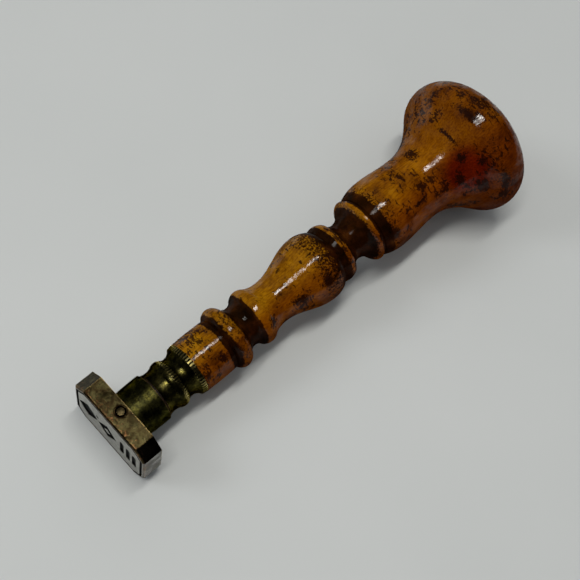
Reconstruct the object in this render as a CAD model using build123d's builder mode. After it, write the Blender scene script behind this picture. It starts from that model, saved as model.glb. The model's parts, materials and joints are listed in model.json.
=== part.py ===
from build123d import *
import os
from math import asin, atan2, cos, degrees, hypot, radians, sin, sqrt

# A desk hand stamp lying on its side: a turned wooden handle in a brass ferrule, and an
# engraved brass die whose threaded stud screws into that ferrule. Millimetres.
#
# Every piece is drawn along the stamp's own axis, which runs from the middle of the die
# face to the end of the knob. In the profile plane, x is the distance from the die face
# and y is the distance from the axis. The origin is at the middle of the lying stamp's
# box, on the ground, +Z is up and +X runs towards the knob.

# ---- Die block: an elongated octagon, engraved on its front face
block_width = 26.3
block_height = 20.7
block_depth = 5.8
block_corner = 3.4
face_bevel = 0.5
engraving_depth = 0.6
border_inset = 0.6
border_width = 0.9
ornament_height = 8.2
star_width = 7.2
star_waist = 2.1
star_place = 8.0
dot_radius = 0.6
dot_place = 4.5
dot_rise = 2.7
lozenge_width = 7.0
lozenge_place = 0.7
lozenge_island = 0.34
bar_width = 1.5
bar_pitch = 2.3
pattern_width = 23.3
bar_place = -7.2

# ---- Locating pin through the block's upper side and the stud
pin_radius = 1.0
pin_station = 3.8
pin_crown = 0.12
pin_reach = 0.9
pin_countersink = 0.45

# ---- Collar drum between the block and the seam
collar_length = 8.6
collar_radius = 6.85
collar_base_radius = 6.6
collar_foot_radius = 6.95
collar_foot_length = 0.5
collar_rim_bevel = 0.15

# ---- Packing washer in the seam
washer_thickness = 0.5
washer_radius = 5.7

# ---- Ferrule: groove, bead, cove and flared rim, with two milled edges
ferrule_length = 11.3
ferrule_nose_radius = 6.3
ferrule_groove_radius = 6.0
ferrule_groove_run = 3.3
ferrule_bead_radius = 6.8
ferrule_bead_run = 2.9
ferrule_cove_radius = 5.85
ferrule_cove_run = 1.5
ferrule_rim_radius = 7.45
ferrule_rim_width = 1.3
ferrule_rim_step = 0.15
ferrule_rim_flare = 0.2
mill_count = 52
mill_cutter_radius = 0.28
mill_depth = 0.26
mill_width = 1.3
floor_thickness = 1.5
socket_depth = 2.6
socket_radius = 4.6

# ---- Die stud: a quarter-inch Whitworth thread, twenty turns to the inch
thread_radius = 3.175
thread_pitch = 1.27
thread_height = 0.81
thread_crest = 0.16
thread_foot = 1.06
thread_sink = 0.1
shank_radius = 3.0
spigot_floor = 1.8

# ---- Fixing screw from the ferrule's bore into the handle
screw_head_radius = 2.7
screw_radius = 1.45
screw_length = 17.0
screw_point = 2.5
slot_width = 0.7
slot_depth = 0.6

# ---- Handle, from the ferrule to the end of the knob: lengths along the axis
barrel_length = 10.0
groove_width = 0.5
bead_length = 4.6
cove_length = 4.8
lip_length = 4.0
waist_run = 4.3
bulb_run = 15.0
bulb_fall = 5.0
ring_length = 3.7
hollow_run = 3.6
band_rise = 5.3
band_swell = 1.65
band_lip = 0.9
shoulder_run = 6.4
neck_fall = 12.1
neck_run = 21.1
dome_length = 12.0

# ---- Handle: radii of its crests and hollows
barrel_radius = 7.45
barrel_swell = 0.12
groove_depth = 0.5
bead_radius = 9.05
edge_radius = 7.4
cove_radius = 6.1
lip_radius = 8.15
waist_radius = 6.4
bulb_radius = 9.95
ring_radius = 8.65
ring_edge_radius = 8.15
hollow_edge_radius = 7.8
hollow_radius = 5.7
band_radius = 9.5
band_edge_radius = 9.2
shoulder_radius = 10.65
neck_radius = 9.85
knob_radius = 20.2
knob_crest_radius = 7.5
knob_crest_slope = 44

# ---- Clearances
fixed_fit = 0.02
running_fit = 0.05
end_gap = 0.2

# ---- Stations along the axis
seam = block_depth + collar_length
ferrule_start = seam + washer_thickness
handle_start = ferrule_start + ferrule_length
floor_end = handle_start - socket_depth
floor_start = floor_end - floor_thickness
stud_end = floor_start - end_gap
screw_end = floor_start + screw_length
groove_start = handle_start + barrel_length
bead_start = groove_start + groove_width
cove_start = bead_start + bead_length
lip_start = cove_start + cove_length
lip_end = lip_start + lip_length
waist = lip_end + waist_run
bulb = waist + bulb_run
ring_start = bulb + bulb_fall
hollow_start = ring_start + ring_length
hollow = hollow_start + hollow_run
band = hollow + band_rise
band_end = band + band_lip
shoulder_start = band_end + groove_width
shoulder = shoulder_start + shoulder_run
neck = shoulder + neck_fall
knob = neck + neck_run
handle_end = knob + dome_length

# ---- The knob's widest part is an arc. Its end is a larger arc about a centre on the
# stamp's axis, and the two meet without a corner
crest_centre = knob_radius - knob_crest_radius
dome_radius = (dome_length**2 + crest_centre**2 - knob_crest_radius**2) / (
    2 * (dome_length - knob_crest_radius)
)
dome_centre = handle_end - dome_radius
dome_angle = degrees(atan2(crest_centre, knob - dome_centre))

# ---- How the stamp lies: the lower edge of the die face's bevel and the knob's widest
# part both touch the ground, which sets the lean of the axis
half_height = block_height / 2
run_to_knob = knob - face_bevel
rise_to_crest = crest_centre - half_height
lean = atan2(rise_to_crest, run_to_knob) + asin(
    knob_crest_radius / hypot(run_to_knob, rise_to_crest)
)
face_rise = half_height * cos(lean) - face_bevel * sin(lean)
front_overhang = (half_height - face_bevel) * sin(lean)
back_reach = dome_centre * cos(lean) + dome_radius

profile = Plane(
    origin=((front_overhang - back_reach) / 2, 0, face_rise),
    x_dir=(cos(lean), 0, sin(lean)),
    z_dir=(0, -1, 0),
)
stamp_axis = Axis(profile.origin, profile.x_dir)
pin_length = half_height + shank_radius + pin_reach
pin_mouth = profile.from_local_coords((pin_station, half_height))
pin_seat = Plane(pin_mouth, x_dir=profile.x_dir, z_dir=profile.y_dir)


def across(station):
    """The plane square to the stamp's axis: x is the stamp's width, y its height."""
    origin = profile.from_local_coords((station, 0))
    return Plane(origin, x_dir=(0, 1, 0), z_dir=profile.x_dir)


def octagon(inset, mode=Mode.ADD):
    """The block's outline, drawn in by inset all round."""
    half_width = block_width / 2 - inset
    half_rise = block_height / 2 - inset
    corner = block_corner - inset * (2 - sqrt(2))
    points = [
        (half_width, half_rise - corner),
        (half_width - corner, half_rise),
        (corner - half_width, half_rise),
        (-half_width, half_rise - corner),
    ]
    return Polygon(*points, *[(-x, -y) for x, y in points], align=None, mode=mode)


def lozenge(width, height, mode=Mode.ADD):
    """An upright diamond."""
    points = [(width / 2, 0), (0, height / 2)]
    return Polygon(*points, *[(-x, -y) for x, y in points], align=None, mode=mode)


def star(width, height, inner):
    """A four-pointed star whose hollows lie at inner from its middle lines."""
    points = [(width / 2, 0), (inner, inner), (0, height / 2), (-inner, inner)]
    return Polygon(*points, *[(-x, -y) for x, y in points], align=None)


def screw_outline(end, clearance):
    """The fixing screw below its head's face, or its hole with a clearance all round."""
    radius = screw_radius + clearance
    return [
        (floor_start, screw_head_radius + clearance),
        (floor_start + screw_head_radius - screw_radius, radius),
        (end - screw_point, radius),
        (end, 0),
    ]


# ---- Die block: the pattern closes up or opens out to fill the width inside the border
pattern_stretch = (block_width - 2 * (border_inset + border_width)) / pattern_width
with BuildPart() as die_block:
    with BuildSketch(across(0)):
        octagon(0)
    extrude(amount=block_depth)
    chamfer(faces().sort_by(stamp_axis)[0].edges(), face_bevel)
    with BuildSketch(across(0)):
        octagon(border_inset)
        octagon(border_inset + border_width, Mode.SUBTRACT)
        with Locations((star_place * pattern_stretch, 0)):
            star(star_width * pattern_stretch, ornament_height, star_waist)
        with Locations((dot_place * pattern_stretch, dot_rise)):
            Circle(dot_radius)
        with Locations((lozenge_place * pattern_stretch, 0)):
            lozenge(lozenge_width * pattern_stretch, ornament_height)
            lozenge(
                lozenge_island * lozenge_width * pattern_stretch,
                lozenge_island * ornament_height,
                Mode.SUBTRACT,
            )
        bar_middle = Location((bar_place * pattern_stretch, 0))
        with Locations(bar_middle), GridLocations(bar_pitch * pattern_stretch, 0, 3, 1):
            SlotOverall(ornament_height, bar_width, rotation=90)
    extrude(amount=engraving_depth, mode=Mode.SUBTRACT)
    with BuildSketch(across(spigot_floor)):
        Circle(shank_radius + fixed_fit)
    extrude(amount=block_depth - spigot_floor, mode=Mode.SUBTRACT)
    with BuildSketch(pin_seat):
        Circle(pin_radius + fixed_fit)
    extrude(amount=-pin_length, mode=Mode.SUBTRACT)
    with BuildSketch(pin_seat):
        Circle(pin_radius + pin_countersink)
    extrude(amount=-pin_countersink, taper=45, mode=Mode.SUBTRACT)
die_block.part.label = "die_block"

# ---- Locating pin: its crowned end shows in a countersink on the block's upper side
with BuildPart() as locating_pin:
    with BuildSketch(profile):
        with BuildLine():
            crown = ThreePointArc(
                (pin_station - pin_radius, half_height),
                (pin_station, half_height + pin_crown),
                (pin_station + pin_radius, half_height),
            )
            Line(crown @ 0, crown @ 1)
        make_face()
        with Locations((pin_station, half_height)):
            Rectangle(2 * pin_radius, pin_length, align=(Align.CENTER, Align.MAX))
        with Locations((pin_station, half_height)):
            Rectangle(
                pin_radius,
                3 * pin_length,
                align=(Align.MAX, Align.CENTER),
                mode=Mode.SUBTRACT,
            )
    revolve(axis=Axis(pin_mouth, profile.y_dir))
locating_pin.part.label = "locating_pin"

# ---- Collar: a turned drum with a small foot on the block and a crisp rim at the seam
with BuildPart() as die_collar:
    with BuildSketch(profile):
        with BuildLine():
            foot_end = block_depth + collar_foot_length
            collar_bore = shank_radius + fixed_fit
            foot = Polyline(
                (block_depth, collar_bore),
                (block_depth, collar_foot_radius),
                (foot_end, collar_foot_radius),
                (foot_end, collar_base_radius),
            )
            drum = Spline(
                foot @ 1,
                (seam - collar_rim_bevel, collar_radius),
                tangents=[(1, 0.1), (1, 0)],
            )
            Polyline(
                drum @ 1,
                (seam, collar_radius - collar_rim_bevel),
                (seam, collar_bore),
                foot @ 0,
            )
        make_face()
    revolve(axis=stamp_axis)
die_collar.part.label = "die_collar"

# ---- Packing washer, which slides along the stud with the ferrule
with BuildPart() as packing_washer:
    with BuildSketch(across(seam)):
        Circle(washer_radius)
        Circle(thread_radius + 2 * running_fit, mode=Mode.SUBTRACT)
    extrude(amount=washer_thickness)
packing_washer.part.label = "packing_washer"

# ---- Die stud: one ridge winds around the core, and a cone trims its last turn
with BuildPart() as die_stud:
    thread_root = thread_radius - thread_height
    winding_start = profile.from_local_coords((seam - thread_pitch, 0))
    with BuildLine():
        winding = Helix(
            thread_pitch,
            stud_end - seam + 2 * thread_pitch,
            thread_root,
            center=winding_start,
            direction=profile.x_dir,
        )
    with BuildSketch(
        Plane(winding @ 0, x_dir=(winding @ 0) - winding_start, z_dir=winding % 0)
    ):
        Polygon(
            (-thread_sink, -thread_foot / 2),
            (thread_height, -thread_crest / 2),
            (thread_height, thread_crest / 2),
            (-thread_sink, thread_foot / 2),
            align=None,
        )
    sweep(path=winding, is_frenet=True)
    with BuildSketch(profile):
        Polygon(
            (seam, 0),
            (seam, thread_radius + thread_pitch),
            (stud_end - thread_height - thread_pitch, thread_radius + thread_pitch),
            (stud_end, thread_root),
            (stud_end, 0),
            align=None,
        )
    revolve(axis=stamp_axis, mode=Mode.INTERSECT)
    with BuildSketch(profile):
        Polygon(
            (spigot_floor, 0),
            (spigot_floor, shank_radius),
            (seam, shank_radius),
            (seam, thread_root),
            (stud_end, thread_root),
            (stud_end, 0),
            align=None,
        )
    revolve(axis=stamp_axis)
    with BuildSketch(pin_seat):
        Circle(pin_radius + fixed_fit)
    extrude(amount=-2 * half_height, mode=Mode.SUBTRACT)
die_stud.part.label = "die_stud"

# ---- Ferrule: bored for the stud, socketed for the handle's spigot
with BuildPart() as ferrule:
    with BuildSketch(profile):
        with BuildLine():
            groove_end = ferrule_start + ferrule_groove_run
            bead_end = groove_end + ferrule_bead_run
            rim_start = handle_start - ferrule_rim_width
            rim_root = ferrule_rim_radius - ferrule_rim_flare
            nose = ThreePointArc(
                (ferrule_start, ferrule_nose_radius),
                ((ferrule_start + groove_end) / 2, ferrule_groove_radius),
                (groove_end, ferrule_nose_radius),
            )
            bead = ThreePointArc(
                nose @ 1,
                ((groove_end + bead_end) / 2, ferrule_bead_radius),
                (bead_end, ferrule_nose_radius),
            )
            cove = Spline(
                bead @ 1,
                (bead_end + ferrule_cove_run, ferrule_cove_radius),
                (rim_start, rim_root - ferrule_rim_step),
                tangents=[(1, -1), (1, 0), (1, 1)],
            )
            Polyline(
                cove @ 1,
                (rim_start, rim_root),
                (handle_start, ferrule_rim_radius),
                (handle_start, socket_radius),
                (floor_end, socket_radius),
                (floor_end, 0),
                (floor_start, 0),
                (floor_start, thread_radius + running_fit),
                (ferrule_start, thread_radius + running_fit),
                nose @ 0,
            )
        make_face()
    revolve(axis=stamp_axis)
    with BuildSketch(profile):
        Polygon((floor_start, 0), *screw_outline(screw_end, fixed_fit), align=None)
    revolve(axis=stamp_axis, mode=Mode.SUBTRACT)
    milled_edges = [
        (bead_end - mill_width, ferrule_bead_radius - ferrule_rim_step),
        (rim_start, ferrule_rim_radius),
    ]
    for station, radius in milled_edges:
        with BuildSketch(across(station)):
            with PolarLocations(radius + mill_cutter_radius - mill_depth, mill_count):
                Circle(mill_cutter_radius)
        extrude(amount=mill_width, mode=Mode.SUBTRACT)
ferrule.part.label = "ferrule"

# ---- Fixing screw, countersunk in the ferrule's floor
with BuildPart() as fixing_screw:
    with BuildSketch(profile):
        Polygon((floor_start, 0), *screw_outline(screw_end, 0), align=None)
    revolve(axis=stamp_axis)
    with BuildSketch(across(floor_start)):
        Rectangle(slot_width, 3 * screw_head_radius)
    extrude(amount=slot_depth, mode=Mode.SUBTRACT)
fixing_screw.part.label = "fixing_screw"

# ---- Handle: beads, coves and rings along a slender stem, then the palm knob
with BuildPart() as handle:
    with BuildSketch(profile):
        with BuildLine():
            slope = radians(knob_crest_slope)
            spigot_start = floor_end + end_gap
            barrel = ThreePointArc(
                (handle_start, barrel_radius),
                ((handle_start + groove_start) / 2, barrel_radius + barrel_swell),
                (groove_start, barrel_radius),
            )
            groove = Polyline(
                barrel @ 1,
                ((groove_start + bead_start) / 2, barrel_radius - groove_depth),
                (bead_start, barrel_radius),
            )
            bead = ThreePointArc(
                groove @ 1,
                ((bead_start + cove_start) / 2, bead_radius),
                (cove_start, edge_radius),
            )
            cove = ThreePointArc(
                bead @ 1,
                ((cove_start + lip_start) / 2, cove_radius),
                (lip_start, edge_radius),
            )
            lip = ThreePointArc(
                cove @ 1,
                ((lip_start + lip_end) / 2, lip_radius),
                (lip_end, edge_radius),
            )
            bulb_rise = Spline(
                lip @ 1,
                (waist, waist_radius),
                (bulb, bulb_radius),
                (ring_start, ring_edge_radius),
                tangents=[(1, -0.6), (1, 0), (1, 0), (1, -0.8)],
            )
            ring = ThreePointArc(
                bulb_rise @ 1,
                ((ring_start + hollow_start) / 2, ring_radius),
                (hollow_start, ring_edge_radius),
            )
            Line(ring @ 1, (hollow_start, hollow_edge_radius))
            flare = Spline(
                (hollow_start, hollow_edge_radius),
                (hollow, hollow_radius),
                (band - band_swell, hollow_edge_radius),
                (band, band_radius),
                (band_end, band_edge_radius),
                tangents=[(1, -1.3), (1, 0), (1, 1.5), (1, 0), (1, -0.8)],
            )
            band_groove = Polyline(
                flare @ 1,
                ((band_end + shoulder_start) / 2, band_edge_radius - groove_depth),
                (shoulder_start, band_edge_radius),
            )
            crest = CenterArc(
                (knob, crest_centre),
                knob_crest_radius,
                90 + knob_crest_slope,
                dome_angle - 90 - knob_crest_slope,
            )
            Spline(
                band_groove @ 1,
                (shoulder, shoulder_radius),
                (neck, neck_radius),
                crest @ 0,
                tangents=[(1, 0.5), (1, 0), (1, 0), (cos(slope), sin(slope))],
            )
            dome = CenterArc((dome_centre, 0), dome_radius, dome_angle, -dome_angle)
            Polyline(
                dome @ 1,
                (spigot_start, 0),
                (spigot_start, socket_radius - fixed_fit),
                (handle_start, socket_radius - fixed_fit),
                barrel @ 0,
            )
        make_face()
    revolve(axis=stamp_axis)
    with BuildSketch(profile):
        Polygon((floor_start, 0), *screw_outline(screw_end, fixed_fit), align=None)
    revolve(axis=stamp_axis, mode=Mode.SUBTRACT)
handle.part.label = "handle"

# ---- One STEP file for each piece
os.makedirs("parts", exist_ok=True)
export_step(die_block.part, "parts/die_block.step")
export_step(locating_pin.part, "parts/locating_pin.step")
export_step(die_collar.part, "parts/die_collar.step")
export_step(packing_washer.part, "parts/packing_washer.step")
export_step(die_stud.part, "parts/die_stud.step")
export_step(ferrule.part, "parts/ferrule.step")
export_step(fixing_screw.part, "parts/fixing_screw.step")
export_step(handle.part, "parts/handle.step")
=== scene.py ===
import json
from math import atan2, cos, radians, sin, sqrt

import bpy
from mathutils import Matrix, Vector

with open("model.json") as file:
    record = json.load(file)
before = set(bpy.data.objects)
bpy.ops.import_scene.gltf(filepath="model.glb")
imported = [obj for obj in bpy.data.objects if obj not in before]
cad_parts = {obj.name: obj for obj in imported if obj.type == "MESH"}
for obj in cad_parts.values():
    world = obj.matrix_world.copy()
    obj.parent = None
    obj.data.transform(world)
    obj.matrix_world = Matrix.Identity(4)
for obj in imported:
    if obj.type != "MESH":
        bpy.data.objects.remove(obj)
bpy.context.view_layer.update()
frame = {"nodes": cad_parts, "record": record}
scene = bpy.context.scene
scene.view_settings.view_transform = "Standard"

# ---- Camera
# The stamp is seen from above its die end, with the picture turned so that the stamp
# lies along the rising diagonal.
MM = 0.001
camera_azimuth = radians(-63.04)
camera_elevation = radians(62.77)
camera_roll = radians(22.22)
camera_distance = 335.2 * MM
camera_target = Vector((-8.91, -0.73, 14.97)) * MM
look_from = Vector(
    (
        sin(camera_azimuth) * cos(camera_elevation),
        -cos(camera_azimuth) * cos(camera_elevation),
        sin(camera_elevation),
    )
)
camera_data = bpy.data.cameras.new("camera")
camera_data.lens = 78.85
camera_data.sensor_width = 36.0
camera_data.clip_start = 0.01
camera = bpy.data.objects.new("camera", camera_data)
scene.collection.objects.link(camera)
camera.matrix_world = (
    Matrix.Translation(camera_target + look_from * camera_distance)
    @ look_from.to_track_quat("Z", "Y").to_matrix().to_4x4()
    @ Matrix.Rotation(camera_roll, 4, "Z")
)
scene.camera = camera


# ---- Ground
# A large sheet of pale matt card that lies under the stamp. It has only the faint
# cloudiness of the paper itself.
def linear(hex_colour):
    """A colour given as sRGB hex, turned to the linear values that shaders use."""
    shares = [int(hex_colour[i : i + 2], 16) / 255 for i in (0, 2, 4)]
    return (
        *[s / 12.92 if s <= 0.04045 else ((s + 0.055) / 1.055) ** 2.4 for s in shares],
        1.0,
    )


def add(tree, kind, inputs=None, stops=(), **settings):
    """Adds a node with its settings and, for a ramp, its (position, hex) stops.

    Then sets each input to a value, or links it to another node's socket.
    """
    made = tree.nodes.new(kind)
    for name, value in settings.items():
        setattr(made, name, value)
    for place, (position, hex_colour) in enumerate(stops):
        if place > 1:
            made.color_ramp.elements.new(position)
        made.color_ramp.elements[place].position = position
        made.color_ramp.elements[place].color = linear(hex_colour)
    for key, value in (inputs or {}).items():
        if isinstance(value, bpy.types.NodeSocket):
            tree.links.new(value, made.inputs[key])
        else:
            made.inputs[key].default_value = value
    return made


def new_material(name):
    """A material with an empty tree, and that tree."""
    material = bpy.data.materials.new(name)
    material.use_nodes = True
    material.node_tree.nodes.clear()
    return material, material.node_tree


card, tree = new_material("pale_card")  # matt, nearly neutral, a touch cool
paper = add(tree, "ShaderNodeTexCoord")
cloud = add(
    tree,
    "ShaderNodeTexNoise",
    {"Vector": paper.outputs["Object"], "Scale": 9.0, "Detail": 4.0},
)
card_tone = add(
    tree,
    "ShaderNodeMix",
    {0: cloud.outputs["Fac"], 6: linear("c9cecd"), 7: linear("d6dad9")},
    data_type="RGBA",
)
card_shader = add(
    tree,
    "ShaderNodeBsdfPrincipled",
    {"Base Color": card_tone.outputs[2], "Roughness": 0.75},
)
add(tree, "ShaderNodeOutputMaterial", {"Surface": card_shader.outputs[0]})
ground_reach = 3.0  # metres
ground_mesh = bpy.data.meshes.new("ground")
ground_mesh.from_pydata(
    [(x * ground_reach, y * ground_reach, 0) for x, y in ((-1, -1), (1, -1), (1, 1), (-1, 1))],
    [],
    [(0, 1, 2, 3)],
)
ground_mesh.materials.append(card)
ground = bpy.data.objects.new("ground", ground_mesh)
scene.collection.objects.link(ground)

# ---- Light
# One long lamp overhead gives the narrow streaks on the varnish. The room is dim, and
# lighter on the side where its window is, which is what the old brass mirrors.
room = bpy.data.worlds.new("room")
scene.world = room
room.use_nodes = True
tree = room.node_tree
tree.nodes.clear()
looking = add(tree, "ShaderNodeTexCoord")
toward_window = add(
    tree,
    "ShaderNodeVectorMath",
    {0: looking.outputs["Generated"], 1: (-0.25, 0.95, 0.15)},
    operation="DOT_PRODUCT",
)
window_glow = add(
    tree,
    "ShaderNodeMapRange",
    {"Value": toward_window.outputs["Value"], "From Min": -0.35, "From Max": 1.0,
     "To Min": 0.012, "To Max": 0.085},
    interpolation_type="SMOOTHSTEP",
)
sky = add(
    tree,
    "ShaderNodeBackground",
    {"Color": linear("f2f6ff"), "Strength": window_glow.outputs["Result"]},
)
add(tree, "ShaderNodeOutputWorld", {"Surface": sky.outputs[0]})


def hang_lamp(name, toward, distance, length, width, watts, tint):
    """An area lamp facing the stamp, with its long side along the stamp."""
    lamp_data = bpy.data.lights.new(name, "AREA")
    lamp_data.shape = "RECTANGLE"
    lamp_data.size = length
    lamp_data.size_y = width
    lamp_data.energy = watts
    lamp_data.color = linear(tint)[:3]
    lamp = bpy.data.objects.new(name, lamp_data)
    scene.collection.objects.link(lamp)
    away = Vector(toward).normalized()
    across = away.cross(Vector((1, 0, 0))).normalized()
    along = across.cross(away)
    turn = Matrix((along, across, away)).transposed().to_4x4()
    lamp.matrix_world = Matrix.Translation(away * distance) @ turn
    return lamp


hang_lamp("ceiling_lamp", (-0.12, 0.035, 0.98), 1.0, 0.72, 0.075, 4.7, "fffbf5")
ceiling_bounce = hang_lamp("ceiling_bounce", (-0.05, 0.08, 1.0), 1.6, 4.0, 4.0, 19.2, "fdfdff")
window = hang_lamp("window", (-0.52, 0.48, 0.62), 1.8, 0.5, 0.5, 4.6, "fbfcff")
for pale in (ceiling_bounce, window):
    pale.visible_glossy = False  # both are too dim and wide to show in the gloss


# ---- Die block
# An octagonal block of cast and filed brass, gone brown and olive with age and rubbed
# brighter along its edges. Its face is engraved, and old ink fills the cuts.
mount = frame["record"]["mounts"][0]
stamp_direction = -Vector(mount["axis"])
face_centre = Vector((mount["pos_m"][0], 0, mount["pos_m"][2]))


def along_stamp(tree):
    """The place in millimetres: X from the die face along the stamp, Z its upper side."""
    lying = add(tree, "ShaderNodeTexCoord")
    straight = add(
        tree,
        "ShaderNodeMapping",
        {
            "Vector": lying.outputs["Object"],
            "Location": face_centre,
            "Rotation": (0, -atan2(stamp_direction.z, stamp_direction.x), 0),
            "Scale": (MM, MM, MM),
        },
        vector_type="TEXTURE",
    )
    split = add(tree, "ShaderNodeSeparateXYZ", {0: straight.outputs[0]})
    return straight.outputs[0], split.outputs["X"], split.outputs["Y"], split.outputs["Z"]


def aged_brass(name, tones, gloss, wear_width, glancing="ffffff"):
    """Brass under a brown skin: cloudy, pitted, and rubbed bright along its edges.

    gloss is the roughness where fingers polish it, wear_width is in millimetres, and
    glancing dims what it mirrors at a shallow angle.
    """
    material, tree = new_material(name)
    place = along_stamp(tree)[0]
    clouds = add(  # patches of thicker and thinner skin, about 2 mm across
        tree,
        "ShaderNodeTexNoise",
        {"Vector": place, "Scale": 1 / 2.0, "Detail": 6.0, "Roughness": 0.72},
    )
    skin = add(tree, "ShaderNodeValToRGB", {"Fac": clouds.outputs["Fac"]}, stops=tones)
    grit = add(  # pits and crumbs of dirt, about half a millimetre
        tree,
        "ShaderNodeTexNoise",
        {"Vector": place, "Scale": 1 / 0.55, "Detail": 3.0, "Roughness": 0.65},
    )
    pitted = add(
        tree,
        "ShaderNodeMapRange",
        {"Value": grit.outputs["Fac"], "From Min": 0.53, "From Max": 0.63, "To Max": 0.75},
    )
    dirty = add(
        tree,
        "ShaderNodeMix",
        {0: pitted.outputs[0], 6: skin.outputs["Color"], 7: linear("120d05")},
        data_type="RGBA",
    )
    rounded = add(tree, "ShaderNodeBevel", {"Radius": wear_width * MM}, samples=6)
    surface = add(tree, "ShaderNodeNewGeometry")
    agreement = add(
        tree,
        "ShaderNodeVectorMath",
        {0: rounded.outputs["Normal"], 1: surface.outputs["Normal"]},
        operation="DOT_PRODUCT",
    )
    edge = add(
        tree,
        "ShaderNodeMapRange",
        {"Value": agreement.outputs["Value"], "From Min": 0.995, "From Max": 0.9},
    )
    patchy = add(
        tree,
        "ShaderNodeMapRange",
        {"Value": clouds.outputs["Fac"], "From Min": 0.36, "From Max": 0.56},
    )
    rubbed = add(
        tree, "ShaderNodeMath", {0: edge.outputs[0], 1: patchy.outputs[0]}, operation="MULTIPLY"
    )
    worn = add(
        tree,
        "ShaderNodeMix",
        {0: rubbed.outputs[0], 6: dirty.outputs[2], 7: linear("b59a62")},
        data_type="RGBA",
    )
    handled = add(  # polished by fingers in some places and dull in others
        tree, "ShaderNodeTexNoise", {"Vector": place, "Scale": 1 / 3.6, "Detail": 5.0}
    )
    sheen = add(
        tree,
        "ShaderNodeMapRange",
        {"Value": handled.outputs["Fac"], "From Min": 0.38, "From Max": 0.62,
         "To Min": gloss - 0.06, "To Max": gloss + 0.16},
    )
    rough = add(
        tree,
        "ShaderNodeTexNoise",
        {"Vector": place, "Scale": 1 / 0.9, "Detail": 5.0, "Roughness": 0.7},
    )
    relief = add(
        tree,
        "ShaderNodeBump",
        {"Height": rough.outputs["Fac"], "Strength": 0.5, "Distance": 0.06 * MM},
    )
    shader = add(
        tree,
        "ShaderNodeBsdfPrincipled",
        {
            "Base Color": worn.outputs[2],
            "Metallic": 1.0,
            "Specular Tint": linear(glancing),
            "Roughness": sheen.outputs[0],
            "Normal": relief.outputs["Normal"],
        },
    )
    add(tree, "ShaderNodeOutputMaterial", {"Surface": shader.outputs[0]})
    return material, tree, shader


# Old sand-cast brass: a dull olive brown that mirrors the room only faintly.
block_brass, tree, shader = aged_brass(
    "block_brass",
    ((0.3, "1c1409"), (0.44, "352c1a"), (0.56, "454027"), (0.72, "565034")),
    gloss=0.25,
    wear_width=0.3,
)
block_width, block_height, block_corner = 26.3, 20.7, 3.4
ink_inset = 0.6
face_depth, ink_floor = 0.06, 0.75
place, station, sideways, upward = along_stamp(tree)
from_side = add(tree, "ShaderNodeMath", {0: sideways}, operation="ABSOLUTE")
from_top = add(tree, "ShaderNodeMath", {0: upward}, operation="ABSOLUTE")
side_gap = add(
    tree, "ShaderNodeMath", {0: block_width / 2, 1: from_side.outputs[0]}, operation="SUBTRACT"
)
top_gap = add(
    tree, "ShaderNodeMath", {0: block_height / 2, 1: from_top.outputs[0]}, operation="SUBTRACT"
)
corner_gap = add(
    tree, "ShaderNodeMath", {0: side_gap.outputs[0], 1: top_gap.outputs[0]}, operation="ADD"
)
corner_depth = add(
    tree, "ShaderNodeMath", {0: corner_gap.outputs[0], 1: block_corner}, operation="SUBTRACT"
)
corner_true = add(
    tree, "ShaderNodeMath", {0: corner_depth.outputs[0], 1: sqrt(0.5)}, operation="MULTIPLY"
)
nearest = add(
    tree, "ShaderNodeMath", {0: side_gap.outputs[0], 1: top_gap.outputs[0]}, operation="MINIMUM"
)
inset = add(
    tree, "ShaderNodeMath", {0: nearest.outputs[0], 1: corner_true.outputs[0]}, operation="MINIMUM"
)
inside = add(
    tree, "ShaderNodeMath", {0: inset.outputs[0], 1: ink_inset}, operation="GREATER_THAN"
)
near_face = add(tree, "ShaderNodeMath", {0: station, 1: ink_floor}, operation="LESS_THAN")
below_face = add(tree, "ShaderNodeMath", {0: station, 1: face_depth}, operation="GREATER_THAN")
engraved = add(
    tree,
    "ShaderNodeMath",
    {0: near_face.outputs[0], 1: below_face.outputs[0]},
    operation="MULTIPLY",
)
inked = add(
    tree, "ShaderNodeMath", {0: engraved.outputs[0], 1: inside.outputs[0]}, operation="MULTIPLY"
)
on_face = add(tree, "ShaderNodeMath", {0: station, 1: face_depth}, operation="LESS_THAN")
smears = add(  # ink left in thin smears on the flat metal, drawn out along the face
    tree,
    "ShaderNodeTexNoise",
    {"Vector": place, "Scale": 1 / 1.6, "Detail": 5.0, "Roughness": 0.7},
)
face_tone = add(
    tree,
    "ShaderNodeValToRGB",
    {"Fac": smears.outputs["Fac"]},
    stops=((0.3, "4b463a"), (0.44, "8b887c"), (0.6, "a5a39a"), (0.72, "c2bfb5")),
)
# Knocks along the front edge have let reddish metal show through.
knocks = add(
    tree,
    "ShaderNodeTexNoise",
    {"Vector": place, "Scale": 1 / 0.8, "Detail": 4.0, "Roughness": 0.7},
)
front_edge = add(
    tree,
    "ShaderNodeMapRange",
    {"Value": station, "From Min": 0.3, "From Max": 3.2, "To Min": 0.06, "To Max": -0.12},
)
knock_level = add(
    tree,
    "ShaderNodeMath",
    {0: knocks.outputs["Fac"], 1: front_edge.outputs[0]},
    operation="ADD",
)
knocked = add(
    tree,
    "ShaderNodeMapRange",
    {"Value": knock_level.outputs[0], "From Min": 0.56, "From Max": 0.61, "To Max": 0.7},
)
knocked_skin = add(
    tree,
    "ShaderNodeMix",
    {0: knocked.outputs[0], 6: shader.inputs["Base Color"].links[0].from_socket,
     7: linear("7d5638")},
    data_type="RGBA",
)
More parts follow.
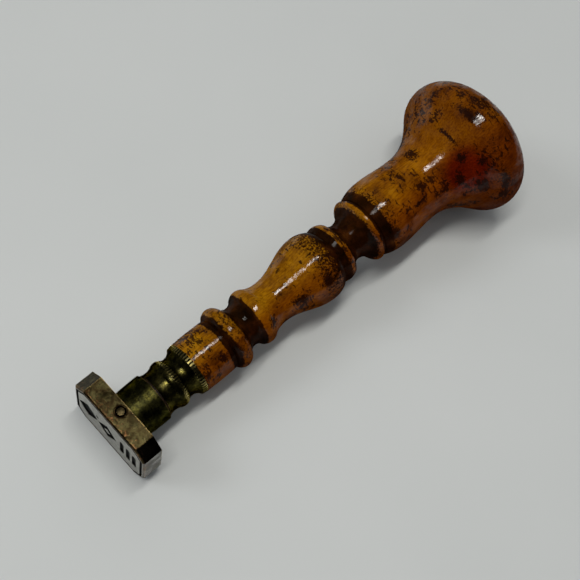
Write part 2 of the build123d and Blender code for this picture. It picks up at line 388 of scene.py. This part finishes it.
# Dirt has filled the countersink round the pin in a broken ring.
pin_station, pin_ring, pin_ring_width = 3.8, 1.35, 0.5
mean_knock = 0.5  # what the noise adds on average
from_pin = add(tree, "ShaderNodeMath", {0: station, 1: pin_station}, operation="SUBTRACT")
pin_flat = add(tree, "ShaderNodeCombineXYZ", {"X": from_pin.outputs[0], "Y": sideways})
pin_reach = add(tree, "ShaderNodeVectorMath", {0: pin_flat.outputs[0]}, operation="LENGTH")
ragged_reach = add(
    tree,
    "ShaderNodeMath",
    {0: knocks.outputs["Fac"], 1: 1.0, 2: pin_reach.outputs["Value"]},
    operation="MULTIPLY_ADD",
)
in_ring = add(
    tree,
    "ShaderNodeMath",
    {0: ragged_reach.outputs[0], 1: pin_ring + mean_knock, 2: pin_ring_width},
    operation="COMPARE",
)
well_up = 8.0
upper_side = add(tree, "ShaderNodeMath", {0: upward, 1: well_up}, operation="GREATER_THAN")
broken = add(
    tree,
    "ShaderNodeMapRange",
    {"Value": smears.outputs["Fac"], "From Min": 0.44, "From Max": 0.5, "To Min": 0.7},
)
ring_here = add(
    tree,
    "ShaderNodeMath",
    {0: in_ring.outputs[0], 1: upper_side.outputs[0]},
    operation="MULTIPLY",
)
ring_dirt = add(
    tree, "ShaderNodeMath", {0: ring_here.outputs[0], 1: broken.outputs[0]}, operation="MULTIPLY"
)
ringed = add(
    tree,
    "ShaderNodeMix",
    {0: ring_dirt.outputs[0], 6: knocked_skin.outputs[2], 7: linear("120b05")},
    data_type="RGBA",
)
# Painted shade: the sloping corner on the side away from the window is painted nearly black, as it
# looks in shade.
corner_shade_reach = 0.12  # how far in from the sloping side the painted shade reaches
at_corner = add(
    tree, "ShaderNodeMath", {0: corner_true.outputs[0], 1: corner_shade_reach}, operation="LESS_THAN"
)
one_end = add(tree, "ShaderNodeMath", {0: sideways, 1: 0.0}, operation="LESS_THAN")
shaded_corner = add(
    tree, "ShaderNodeMath", {0: at_corner.outputs[0], 1: one_end.outputs[0]}, operation="MULTIPLY"
)
# how dark the painted shade on that corner is
corner_shade_strength = 0.8
corner_shade_share = add(
    tree, "ShaderNodeMath", {0: shaded_corner.outputs[0], 1: corner_shade_strength}, operation="MULTIPLY"
)
with_corner_shade = add(
    tree,
    "ShaderNodeMix",
    {0: corner_shade_share.outputs[0], 6: ringed.outputs[2], 7: linear("0e0905")},
    data_type="RGBA",
)
side_colour = with_corner_shade.outputs[2]
side_gloss = shader.inputs["Roughness"].links[0].from_socket
faced = add(
    tree,
    "ShaderNodeMix",
    {0: on_face.outputs[0], 6: side_colour, 7: face_tone.outputs["Color"]},
    data_type="RGBA",
)
with_ink = add(
    tree,
    "ShaderNodeMix",
    {0: inked.outputs[0], 6: faced.outputs[2], 7: linear("080706")},
    data_type="RGBA",
)
wiped, dry_ink = 0.3, 0.85  # the roughness of the wiped face and of the ink in its cuts
face_gloss = add(tree, "ShaderNodeMix", {0: on_face.outputs[0], 2: side_gloss, 3: wiped})
ink_gloss = add(
    tree, "ShaderNodeMix", {0: inked.outputs[0], 2: face_gloss.outputs[0], 3: dry_ink}
)
metal = add(tree, "ShaderNodeMix", {0: inked.outputs[0], 2: 1.0, 3: 0.0})
tree.links.new(with_ink.outputs[2], shader.inputs["Base Color"])
tree.links.new(ink_gloss.outputs[0], shader.inputs["Roughness"])
tree.links.new(metal.outputs[0], shader.inputs["Metallic"])
frame["nodes"]["die_block"].material_slots[0].material = block_brass

# ---- Locating pin
# A brass pin driven through the block's upper side into the stud. A dark line of dirt
# rings its end, which was filed flush. It is the same dull brown as the block.
pin_brass = aged_brass(
    "pin_brass",
    ((0.3, "20170c"), (0.46, "3e3523"), (0.7, "544c33")),
    gloss=0.3,
    wear_width=0.06,
)[0]
frame["nodes"]["locating_pin"].material_slots[0].material = pin_brass

# ---- Collar and ferrule
# Two turned brass tubes. Handling has left them nearly black in the hollows, green gold
# on the crests, and bright along the rims and on the teeth of the milling.
collar_brass = aged_brass(
    "collar_brass",
    ((0.34, "12120a"), (0.46, "2b2b16"), (0.57, "454321"), (0.7, "6a652e")),
    gloss=0.36,
    wear_width=0.26,
    glancing="8c8468",
)[0]
frame["nodes"]["die_collar"].material_slots[0].material = collar_brass
ferrule_brass, tree, shader = aged_brass(
    "ferrule_brass",
    ((0.34, "14120a"), (0.46, "2e2c17"), (0.57, "4a4522"), (0.7, "6e6730")),
    gloss=0.27,
    wear_width=0.12,
    glancing="8c8468",
)
# The teeth of both milled edges are bright, and the cuts between them are painted near black,
# partly as dirt and partly as painted shade.
mill_count = 52
bead_teeth, rim_teeth, teeth_length = 20.45, 25.5, 0.72
place, station, sideways, upward = along_stamp(tree)
turned_by = add(tree, "ShaderNodeMath", {0: upward, 1: sideways}, operation="ARCTAN2")
tooth_turn = add(
    tree, "ShaderNodeMath", {0: turned_by.outputs[0], 1: float(mill_count)}, operation="MULTIPLY"
)
tooth_wave = add(tree, "ShaderNodeMath", {0: tooth_turn.outputs[0]}, operation="COSINE")
on_bead = add(
    tree, "ShaderNodeMath", {0: station, 1: bead_teeth, 2: teeth_length}, operation="COMPARE"
)
on_rim = add(
    tree, "ShaderNodeMath", {0: station, 1: rim_teeth, 2: teeth_length}, operation="COMPARE"
)
milled = add(
    tree, "ShaderNodeMath", {0: on_bead.outputs[0], 1: on_rim.outputs[0]}, operation="ADD"
)
in_cut = add(
    tree,
    "ShaderNodeMapRange",
    {"Value": tooth_wave.outputs[0], "From Min": -0.35, "From Max": 0.1},
)
# bright teeth, and cuts painted near black with dirt and painted shade
tooth_tone = add(
    tree,
    "ShaderNodeMix",
    {0: in_cut.outputs[0], 6: linear("8f8452"), 7: linear("0b0a05")},
    data_type="RGBA",
)
milled_cover = 0.85  # how far the teeth hide the skin of the tube
milled_share = add(
    tree, "ShaderNodeMath", {0: milled.outputs[0], 1: milled_cover}, operation="MULTIPLY"
)
with_teeth = add(
    tree,
    "ShaderNodeMix",
    {0: milled_share.outputs[0], 6: shader.inputs["Base Color"].links[0].from_socket,
     7: tooth_tone.outputs[2]},
    data_type="RGBA",
)
tree.links.new(with_teeth.outputs[2], shader.inputs["Base Color"])
frame["nodes"]["ferrule"].material_slots[0].material = ferrule_brass

# ---- Packing washer
# A thin ring punched from oak-tanned leather, loose on the stud. Pressing and oil have
# made it hard, and it gives a dull dark brown line in the seam.
leather, tree = new_material("oiled_leather")
place = along_stamp(tree)[0]
pores = add(tree, "ShaderNodeTexVoronoi", {"Vector": place, "Scale": 1 / 0.35})
pressed = add(tree, "ShaderNodeTexNoise", {"Vector": place, "Scale": 1 / 1.5, "Detail": 4.0})
hide = add(
    tree,
    "ShaderNodeValToRGB",
    {"Fac": pressed.outputs["Fac"]},
    stops=((0.35, "20130a"), (0.65, "4a2d18")),
)
dents = add(
    tree,
    "ShaderNodeBump",
    {"Height": pores.outputs["Distance"], "Strength": 0.5, "Distance": 0.05 * MM},
)
shader = add(
    tree,
    "ShaderNodeBsdfPrincipled",
    {"Base Color": hide.outputs["Color"], "Roughness": 0.68, "Normal": dents.outputs["Normal"]},
)
add(tree, "ShaderNodeOutputMaterial", {"Surface": shader.outputs[0]})
frame["nodes"]["packing_washer"].material_slots[0].material = leather

# ---- Die stud and fixing screw
# Both are mild steel, the stud with a thread cut by a die and the screw with a sawn slot.
# Oil has kept them a soft grey, with patches of brown rust.
steel, tree = new_material("oiled_steel")
place = along_stamp(tree)[0]
rust_spots = add(
    tree,
    "ShaderNodeTexNoise",
    {"Vector": place, "Scale": 1 / 0.9, "Detail": 6.0, "Roughness": 0.7},
)
steel_tone = add(
    tree,
    "ShaderNodeValToRGB",
    {"Fac": rust_spots.outputs["Fac"]},
    stops=((0.36, "2c1a10"), (0.46, "4d443a"), (0.56, "8b8883"), (0.7, "a3a19c")),
)
steel_gloss = add(
    tree,
    "ShaderNodeMapRange",
    {"Value": rust_spots.outputs["Fac"], "From Min": 0.35, "From Max": 0.6,
     "To Min": 0.7, "To Max": 0.3},
)
cuts = add(
    tree,
    "ShaderNodeBump",
    {"Height": rust_spots.outputs["Fac"], "Strength": 0.4, "Distance": 0.05 * MM},
)
shader = add(
    tree,
    "ShaderNodeBsdfPrincipled",
    {
        "Base Color": steel_tone.outputs["Color"],
        "Metallic": 0.9,
        "Roughness": steel_gloss.outputs[0],
        "Normal": cuts.outputs["Normal"],
    },
)
add(tree, "ShaderNodeOutputMaterial", {"Surface": shader.outputs[0]})
frame["nodes"]["die_stud"].material_slots[0].material = steel
frame["nodes"]["fixing_screw"].material_slots[0].material = steel

# ---- Handle
# Turned from one piece of close-grained fruitwood and varnished. The coves and grooves
# were stained nearly black on the lathe, and palms have rubbed the rims back to amber.
# It shows amber wood through a glassy, slightly rippled coat, with small dark flecks.
varnished_fruitwood, tree = new_material("varnished_fruitwood")
place, station, sideways, upward = along_stamp(tree)
drift = add(  # bends the patterns, so that nothing runs true
    tree, "ShaderNodeTexNoise", {"Vector": place, "Scale": 1 / 3.0, "Detail": 3.0}
)
bent = add(
    tree,
    "ShaderNodeVectorMath",
    {0: drift.outputs["Color"], 1: (1.6, 1.6, 1.6), 2: place},
    operation="MULTIPLY_ADD",
)
figure = add(  # cloudy figure, 6 mm
    tree,
    "ShaderNodeTexNoise",
    {"Vector": bent.outputs[0], "Scale": 1 / 6.0, "Detail": 5.0, "Roughness": 0.6},
)
wood = add(
    tree,
    "ShaderNodeValToRGB",
    {"Fac": figure.outputs["Fac"]},
    stops=((0.33, "643e05"), (0.43, "855606"), (0.54, "996809"), (0.68, "a6760f")),
)
lengthways = add(tree, "ShaderNodeVectorMath", {0: place, 1: (0.18, 1, 1)}, operation="MULTIPLY")
grain = add(  # fibres about 0.4 mm wide and 2 mm long
    tree,
    "ShaderNodeTexNoise",
    {"Vector": lengthways.outputs[0], "Scale": 1 / 0.4, "Detail": 3.0, "Roughness": 0.6},
)
grain_shade = add(
    tree,
    "ShaderNodeValToRGB",
    {"Fac": grain.outputs["Fac"]},
    stops=((0.35, "b9a58c"), (0.6, "ffffff")),
)
grained = add(
    tree,
    "ShaderNodeMix",
    {0: 0.8, 6: wood.outputs["Color"], 7: grain_shade.outputs["Color"]},
    data_type="RGBA",
    blend_type="MULTIPLY",
)
# Painted shade: the side away from the window is painted redder and darker, as it looks in shade.
radius_vector = add(tree, "ShaderNodeCombineXYZ", {"Y": sideways, "Z": upward})
outward = add(tree, "ShaderNodeVectorMath", {0: radius_vector.outputs[0]}, operation="NORMALIZE")
shade_side = add(
    tree,
    "ShaderNodeVectorMath",
    {0: outward.outputs[0], 1: (0, -0.85, 0.1)},
    operation="DOT_PRODUCT",
)
side_shade_share = add(
    tree,
    "ShaderNodeMapRange",
    {"Value": shade_side.outputs["Value"], "From Min": 0.0, "From Max": 0.65},
    interpolation_type="SMOOTHSTEP",
)
with_side_shade = add(
    tree,
    "ShaderNodeMix",
    {0: side_shade_share.outputs[0], 6: grained.outputs[2], 7: linear("dcb45c")},
    data_type="RGBA",
    blend_type="MULTIPLY",
)
# The varnish is thicker and browner on the neck and the knob.
handle_length = 140.0  # from the die's face to the end of the knob, in millimetres
along_handle = add(tree, "ShaderNodeMath", {0: station, 1: handle_length}, operation="DIVIDE")
varnish_tint = add(
    tree,
    "ShaderNodeValToRGB",
    {"Fac": along_handle.outputs[0]},
    stops=(
        (0.5, "fffcf4"), (0.68, "f6e6c0"), (0.78, "ecd4b0"), (0.88, "c8a888"), (0.95, "ccae8c")
    ),
)
deepened = add(
    tree,
    "ShaderNodeMix",
    {0: 1.0, 6: with_side_shade.outputs[2], 7: varnish_tint.outputs["Color"]},
    data_type="RGBA",
    blend_type="MULTIPLY",
)
# Heat or old stain has left one redder patch low on the knob.
patch_centre, patch_size = (118.0, -8.0, 11.5), 9.0
to_patch = add(
    tree, "ShaderNodeVectorMath", {0: bent.outputs[0], 1: patch_centre}, operation="DISTANCE"
)
patch_share = add(
    tree,
    "ShaderNodeMapRange",
    {"Value": to_patch.outputs["Value"], "From Min": patch_size, "From Max": 0.45 * patch_size},
    interpolation_type="SMOOTHSTEP",
)
patched = add(
    tree,
    "ShaderNodeMix",
    {0: patch_share.outputs[0], 6: deepened.outputs[2], 7: linear("dc8448")},
    data_type="RGBA",
    blend_type="MULTIPLY",
)
# Stain by station. Its borders wander by half a millimetre, and where the ramp is grey
# it breaks up into specks.
wander = add(
    tree,
    "ShaderNodeMath",
    {0: drift.outputs["Fac"], 1: 1.2, 2: -0.6},
    operation="MULTIPLY_ADD",
)
wandering = add(tree, "ShaderNodeMath", {0: station, 1: wander.outputs[0]}, operation="ADD")
share = add(
    tree, "ShaderNodeMath", {0: wandering.outputs[0], 1: handle_length}, operation="DIVIDE"
)
stain_by_station = (
    (26.0, "a8a8a8"), (27.0, "303030"), (34.4, "404040"), (35.5, "f4f4f4"),
    (36.8, "f4f4f4"), (37.6, "a4a4a4"), (40.6, "b0b0b0"), (41.6, "d8d8d8"),
    (46.3, "f0f0f0"), (47.0, "000000"), (63.5, "505050"), (66.8, "b0b0b0"),
    (72.4, "c0c0c0"), (73.0, "f4f4f4"), (76.0, "e8e8e8"), (76.5, "000000"),
    (77.7, "505050"), (78.2, "ffffff"), (85.3, "f0f0f0"), (86.0, "a0a0a0"),
    (87.1, "989898"), (87.6, "ffffff"), (90.0, "ffffff"), (90.5, "b8b8b8"),
    (94.0, "9e9e9e"), (96.8, "484848"), (122.4, "484848"), (124.3, "a2a2a2"),
    (126.3, "a2a2a2"), (128.0, "404040"),
)
stain = add(
    tree,
    "ShaderNodeValToRGB",
    {"Fac": share.outputs[0]},
    stops=[(at / handle_length, grey) for at, grey in stain_by_station],
)
specks = add(  # specks about 0.6 mm
    tree,
    "ShaderNodeTexNoise",
    {"Vector": bent.outputs[0], "Scale": 1 / 0.6, "Detail": 4.0, "Roughness": 0.7},
)
speck_level = add(
    tree,
    "ShaderNodeMath",
    {0: stain.outputs["Color"], 1: specks.outputs["Fac"]},
    operation="ADD",
)
stained = add(
    tree,
    "ShaderNodeMapRange",
    {"Value": speck_level.outputs[0], "From Min": 0.9, "From Max": 1.02, "To Max": 0.97},
)
# Dark flecks: short strokes with no one direction, thick in some places and thin in
# others.
crossways = add(
    tree, "ShaderNodeVectorMath", {0: bent.outputs[0], 1: (1.5, 0.75, 0.75)}, operation="MULTIPLY"
)
strokes = add(
    tree,
    "ShaderNodeTexNoise",
    {"Vector": crossways.outputs[0], "Scale": 1 / 1.25, "Detail": 4.0, "Roughness": 0.66,
     "Distortion": 0.6},
)
thickness = add(
    tree, "ShaderNodeTexNoise", {"Vector": place, "Scale": 1 / 9.0, "Detail": 2.0}
)
fleck_level = add(
    tree,
    "ShaderNodeMath",
    {0: thickness.outputs["Fac"], 1: 0.8, 2: strokes.outputs["Fac"]},
    operation="MULTIPLY_ADD",
)
flecked = add(
    tree,
    "ShaderNodeMapRange",
    {"Value": fleck_level.outputs[0], "From Min": 0.992, "From Max": 1.014, "To Max": 0.88},
)
# Larger burns and knocks, each at its own place: station, radius, degrees round from
# +Y over the top, half length along the stamp, half width round it.
marks = (
    (30.6, 7.5, 150.0, 1.4, 1.4),
    (34.0, 7.5, 122.0, 1.8, 2.6),
    (37.6, 8.3, 126.0, 2.4, 3.6),
    (50.5, 7.4, 128.0, 2.0, 2.2),
    (60.0, 7.5, 132.0, 3.2, 2.0),
    (62.0, 8.4, 58.0, 3.4, 0.8),
    (68.5, 9.9, 128.0, 1.8, 2.2),
    (92.0, 10.3, 138.0, 2.6, 2.6),
    (102.8, 10.1, 122.0, 3.6, 1.0),
    (110.8, 10.4, 56.0, 2.6, 3.4),
    (115.8, 12.9, 130.0, 2.0, 3.0),
    (118.6, 14.3, 107.0, 2.0, 1.8),
    (119.6, 15.1, 80.0, 0.7, 4.6),
    (121.4, 17.0, 122.0, 1.6, 1.6),
    (125.2, 19.6, 148.0, 1.6, 6.0),
    (125.6, 19.8, 84.0, 1.3, 5.0),
)
marked = 0.0
for at, radius, turn, half_length, half_width in marks:
    centre = (at, radius * cos(radians(turn)), radius * sin(radians(turn)))
    away = add(tree, "ShaderNodeVectorMath", {0: bent.outputs[0], 1: centre}, operation="SUBTRACT")
    scaled = add(
        tree,
        "ShaderNodeVectorMath",
        {0: away.outputs[0], 1: (1 / half_length, 1 / half_width, 1 / half_width)},
        operation="MULTIPLY",
    )
    size = add(tree, "ShaderNodeVectorMath", {0: scaled.outputs[0]}, operation="LENGTH")
    ragged = add(
        tree,
        "ShaderNodeMath",
        {0: specks.outputs["Fac"], 1: 3.0, 2: size.outputs["Value"]},
        operation="MULTIPLY_ADD",
    )
    dark = add(
        tree,
        "ShaderNodeMapRange",
        {"Value": ragged.outputs[0], "From Min": 2.3, "From Max": 2.05, "To Max": 0.93},
    )
    darkest = add(
        tree, "ShaderNodeMath", {0: marked, 1: dark.outputs[0]}, operation="MAXIMUM"
    )
    marked = darkest.outputs[0]
blemish = add(tree, "ShaderNodeMath", {0: marked, 1: flecked.outputs[0]}, operation="MAXIMUM")
stain_tone = add(
    tree,
    "ShaderNodeValToRGB",
    {"Fac": figure.outputs["Fac"]},
    stops=((0.35, "0a0401"), (0.47, "180802"), (0.58, "2b1104"), (0.7, "452409")),
)
with_flecks = add(
    tree,
    "ShaderNodeMix",
    {0: blemish.outputs[0], 6: patched.outputs[2], 7: linear("1c0803")},
    data_type="RGBA",
)
finished = add(
    tree,
    "ShaderNodeMix",
    {0: stained.outputs[0], 6: with_flecks.outputs[2], 7: stain_tone.outputs["Color"]},
    data_type="RGBA",
)
# The lathe's fine lines, the flecks' edges and a slow ripple all show in the varnish.
lathe_place = add(tree, "ShaderNodeCombineXYZ", {"X": station})
lathe_lines = add(
    tree,
    "ShaderNodeTexNoise",
    {"Vector": lathe_place.outputs[0], "Scale": 1 / 0.5, "Detail": 2.0},
)
ripple = add(
    tree,
    "ShaderNodeTexNoise",
    {"Vector": place, "Scale": 1 / 1.3, "Detail": 3.0, "Roughness": 0.55},
)
ripple_bump = add(
    tree,
    "ShaderNodeBump",
    {"Height": ripple.outputs["Fac"], "Strength": 0.4, "Distance": 0.12 * MM},
)
lathe_bump = add(
    tree,
    "ShaderNodeBump",
    {"Height": lathe_lines.outputs["Fac"], "Strength": 0.3, "Distance": 0.05 * MM,
     "Normal": ripple_bump.outputs["Normal"]},
)
fleck_bump = add(
    tree,
    "ShaderNodeBump",
    {"Height": blemish.outputs[0], "Strength": 0.3, "Distance": 0.05 * MM,
     "Normal": lathe_bump.outputs["Normal"]},
    invert=True,
)
wood_gloss = add(
    tree,
    "ShaderNodeMapRange",
    {"Value": figure.outputs["Fac"], "From Min": 0.3, "From Max": 0.7,
     "To Min": 0.42, "To Max": 0.6},
)
varnish_left = add(  # rubbed thin in places, which breaks the streaks of light
    tree,
    "ShaderNodeTexNoise",
    {"Vector": bent.outputs[0], "Scale": 1 / 3.4, "Detail": 5.0, "Roughness": 0.65},
)
varnish_weight = add(
    tree,
    "ShaderNodeMapRange",
    {"Value": varnish_left.outputs["Fac"], "From Min": 0.42, "From Max": 0.58,
     "To Min": 0.15, "To Max": 0.8},
)
stain_dull = add(  # the stain has soaked in and left the coves nearly matt
    tree,
    "ShaderNodeMapRange",
    {"Value": stained.outputs[0], "From Min": 0.2, "To Min": 1.0, "To Max": 0.22},
)
# The sides it rolls and rests on have lost most of the gloss.
top_side = add(
    tree,
    "ShaderNodeVectorMath",
    {0: outward.outputs[0], 1: (0, 0, 1)},
    operation="DOT_PRODUCT",
)
rolled_on = add(
    tree,
    "ShaderNodeMapRange",
    {"Value": top_side.outputs["Value"], "From Min": 0.2, "From Max": 0.7,
     "To Min": 0.1, "To Max": 1.0},
)
varnish_above = add(
    tree,
    "ShaderNodeMath",
    {0: varnish_weight.outputs[0], 1: rolled_on.outputs[0]},
    operation="MULTIPLY",
)
varnish_here = add(
    tree,
    "ShaderNodeMath",
    {0: varnish_above.outputs[0], 1: stain_dull.outputs[0]},
    operation="MULTIPLY",
)
shader = add(
    tree,
    "ShaderNodeBsdfPrincipled",
    {
        "Base Color": finished.outputs[2],
        "Roughness": wood_gloss.outputs[0],
        "Specular IOR Level": 0.0,
        "Normal": fleck_bump.outputs["Normal"],
        "Coat Weight": varnish_here.outputs[0],
        "Coat Roughness": 0.09,
        "Coat Normal": lathe_bump.outputs["Normal"],
    },
)
add(tree, "ShaderNodeOutputMaterial", {"Surface": shader.outputs[0]})
frame["nodes"]["handle"].material_slots[0].material = varnished_fruitwood
